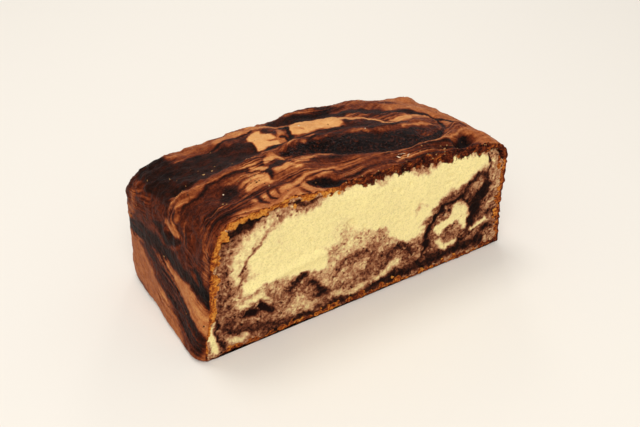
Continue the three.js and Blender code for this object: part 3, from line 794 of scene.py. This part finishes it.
def makeLoaf():
    block, cutFaces, crustFaces, baseLoop = blockGrid()
    points, onCut, rimShare = toLoaf(block)
    quads = np.concatenate([cutFaces, crustFaces])
    normals = normalsOf(points, crustFaces)
    inset = insetFrom(points, onCut, rimShare)
    fields = marbling(points, normals, onCut)
    fields["rind"], fields["rindTone"] = rindFields(points, inset)
    fields["crumbs"], fields["flakes"] = looseFields(points, normals, onCut, fields["rind"])
    moved = ragged(points, normals, fields, onCut, rimShare, inset)
    middle = (moved.min(0) + moved.max(0)) / 2
    middle[2] = 0
    target = np.array([(cadLow.x + cadHigh.x) / 2, (cadLow.y + cadHigh.y) / 2, cadLow.z])
    shift = target - middle * metresPerMm
    mesh = bpy.data.meshes.new("marble_loaf")
    faces = [tuple(q) for q in quads.tolist()] + [tuple(int(v) for v in baseLoop)]
    mesh.from_pydata((moved * metresPerMm + shift).tolist(), [], faces)
    index = np.zeros(len(faces), dtype=np.int32)
    index[:len(cutFaces)] = 1
    mesh.polygons.foreach_set("material_index", index)
    mesh.polygons.foreach_set("use_smooth", np.ones(len(faces), dtype=bool))
    for name, values in fields.items():
        kind, key = ("FLOAT_VECTOR", "vector") if name == "flow" else ("FLOAT", "value")
        layer = mesh.attributes.new(name, kind, "POINT")
        layer.data.foreach_set(key, values.astype(np.float32).ravel())
    mesh.materials.append(bakedCrust())
    mesh.materials.append(cakeCrumb())
    mesh.update()
    mesh.validate()
    mesh.set_sharp_from_angle(angle=radians(loaf["sharpFrom"]))
    print("loaf:", len(mesh.vertices), "vertices,", len(quads), "cells")
    return addObject("marble_loaf", mesh), shift


cake, shift = makeLoaf()
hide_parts(loaf["node"])
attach(cake, "root")


# Geometry Nodes: small lumps lie on the loaf as thickly as one of its painted fields says.
def scatterTree():
    tree = bpy.data.node_groups.new("lumps_on_the_loaf", "GeometryNodeTree")
    for name, kind in (("Loaf", "Geometry"), ("Where", "String"), ("Density", "Float"),
                       ("Smallest", "Vector"), ("Largest", "Vector"), ("Tilt", "Float"), ("Seed", "Int"),
                       ("Material", "Material")):
        tree.interface.new_socket(name=name, in_out="INPUT", socket_type="NodeSocket" + kind)
    tree.interface.new_socket(name="Lumps", in_out="OUTPUT", socket_type="NodeSocketGeometry")
    given = addNode(tree, "NodeGroupInput").outputs
    field = addNode(tree, "GeometryNodeInputNamedAttribute", {"Name": given["Where"]}, data_type="FLOAT")
    thick = addNode(tree, "ShaderNodeMath", {0: field, 1: given["Density"]}, operation="MULTIPLY")
    spots = addNode(tree, "GeometryNodeDistributePointsOnFaces",
                    {"Mesh": given["Loaf"], "Density": thick, "Seed": given["Seed"]})
    lump = addNode(tree, "GeometryNodeMeshIcoSphere", {"Radius": 0.5, "Subdivisions": 2})
    bumps = addNode(tree, "ShaderNodeTexNoise", {"Scale": 2.3, "Detail": 0.0})
    bulge = addNode(tree, "ShaderNodeVectorMath", {0: bumps.outputs[1], 1: (0.5, 0.5, 0.5)},
                    operation="SUBTRACT")
    rough = addNode(tree, "GeometryNodeSetPosition", {"Geometry": lump, "Offset": bulge})
    size = addNode(tree, "FunctionNodeRandomValue",
                   {"Min": given["Smallest"], "Max": given["Largest"], "Seed": given["Seed"]},
                   data_type="FLOAT_VECTOR")
    lean = addNode(tree, "ShaderNodeCombineXYZ", {"X": given["Tilt"], "Y": given["Tilt"], "Z": wholeTurn})
    turn = addNode(tree, "FunctionNodeRandomValue", {"Max": lean, "Seed": given["Seed"]},
                   data_type="FLOAT_VECTOR")
    turned = addNode(tree, "FunctionNodeRotateRotation",
                     {"Rotation": spots.outputs["Rotation"], "Rotate By": turn}, rotation_space="LOCAL")
    laid = addNode(tree, "GeometryNodeInstanceOnPoints",
                   {"Points": spots.outputs["Points"], "Instance": rough,
                    "Rotation": turned, "Scale": size})
    real = addNode(tree, "GeometryNodeRealizeInstances", {"Geometry": laid})
    dressed = addNode(tree, "GeometryNodeSetMaterial", {"Geometry": real, "Material": given["Material"]})
    addNode(tree, "NodeGroupOutput", {"Lumps": dressed})
    return tree


def looseCrumb(name, kind):
    # Dry crumb broken off the cake: dull, and each bit as dark as the batter that it came from.
    material, tree, shader = newMaterial("broken_" + name, looseBits)
    place = addNode(tree, "ShaderNodeTexCoord").outputs["Object"]
    patch = addNode(tree, "ShaderNodeTexNoise",
                    {"Vector": place, "Scale": 1 / (kind["patch"] * metresPerMm), "Detail": 1.0})
    colour = addNode(tree, "ShaderNodeValToRGB", {"Fac": patch}, kind["stops"])
    feed(shader, {"Base Color": colour})
    return material


def makeLooseBits():
    tree = scatterTree()
    for name, kind in looseBits["kinds"].items():
        values = {setting: kind[setting] for setting in ("Where", "Density", "Tilt", "Seed")}
        values["Smallest"] = [v * metresPerMm for v in kind["Smallest"]]
        values["Largest"] = [v * metresPerMm for v in kind["Largest"]]
        values["Material"] = looseCrumb(name, kind)
        carrier = addObject(name + "_carrier", cake.data)
        modifier = carrier.modifiers.new("lumps", "NODES")
        modifier.node_group = tree
        for item in tree.interface.items_tree:
            if item.name in values:
                modifier[item.identifier] = values[item.name]
        evaluated = carrier.evaluated_get(bpy.context.evaluated_depsgraph_get())
        mesh = bpy.data.meshes.new_from_object(evaluated)
        mesh.name = name
        bpy.data.objects.remove(carrier)
        piece = addObject(name, mesh)
        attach(piece, "root")
        print(name + ":", len(mesh.polygons), "faces")


makeLooseBits()


# The table and three softboxes: powers in watts, sizes and places in metres.
studio = {
    "floorSize": 6.0,
    "shader": {"Base Color": toLinear("#e6dfd4"), "Roughness": 0.8, "Specular IOR Level": 0.2},
    "worldColour": "#ffffff", "worldStrength": 0.53,
    "keyPower": 31.0, "keySize": 1.5, "keyPlace": (-0.8, -1.2, 1.68),
    "glintPower": 1.0, "glintSize": 0.22, "glintPlace": (0.5, 0.8, 0.65),
    "overheadPower": 6.3, "overheadSize": 0.5, "overheadPlace": (-0.1, 0.45, 1.5),
}


def makeStudio():
    bpy.ops.mesh.primitive_plane_add(size=studio["floorSize"])
    floor = bpy.context.object
    floor.name = "floor"
    # Matt lacquered tabletop: an even off-white without a clear highlight, so that the shadow stays soft.
    floor.data.materials.append(newMaterial("matt_pale_table", studio)[0])
    world = bpy.data.worlds.new("studio")
    bpy.context.scene.world = world
    world.use_nodes = True
    sky = world.node_tree.nodes["Background"]
    sky.inputs["Color"].default_value = toLinear(studio["worldColour"])
    sky.inputs["Strength"].default_value = studio["worldStrength"]
    for name in ("key", "glint", "overhead"):
        lamp = bpy.data.lights.new(name + "_softbox", "AREA")
        lamp.energy = studio[name + "Power"]
        lamp.size = studio[name + "Size"]
        light = addObject(name + "_softbox", lamp)
        light.location = studio[name + "Place"]
        light.rotation_euler = (-light.location).to_track_quat("-Z", "Y").to_euler()
    bpy.context.scene.view_settings.view_transform = "Standard"


# The photograph's viewpoint, found from the edges of the loaf: angles in degrees, lengths in millimetres.
viewpoint = {
    "azimuth": -31.821, "elevation": 34.605, "distance": 448.6, "target": (0, 44, 32.5),
    "aside": -0.537, "above": -0.435, "lens": 43.875, "sensor": 36.0,
}


def makeCamera():
    turn, rise = radians(viewpoint["azimuth"]), radians(viewpoint["elevation"])
    back = Vector((sin(turn) * cos(rise), -cos(turn) * cos(rise), sin(rise)))
    right = Vector((cos(turn), sin(turn), 0))
    up = back.cross(right)
    place = Vector(viewpoint["target"]) + back * viewpoint["distance"]
    place += right * viewpoint["aside"] + up * viewpoint["above"]
    lens = bpy.data.cameras.new("camera")
    lens.lens = viewpoint["lens"]
    lens.sensor_width = viewpoint["sensor"]
    lens.sensor_fit = "HORIZONTAL"
    lens.clip_start = 0.01
    camera = addObject("camera", lens)
    facing = Matrix((right, up, back)).transposed().to_4x4()
    camera.matrix_world = Matrix.Translation(place * metresPerMm + Vector(shift)) @ facing
    bpy.context.scene.camera = camera


makeStudio()
makeCamera()
print("studio and camera done")
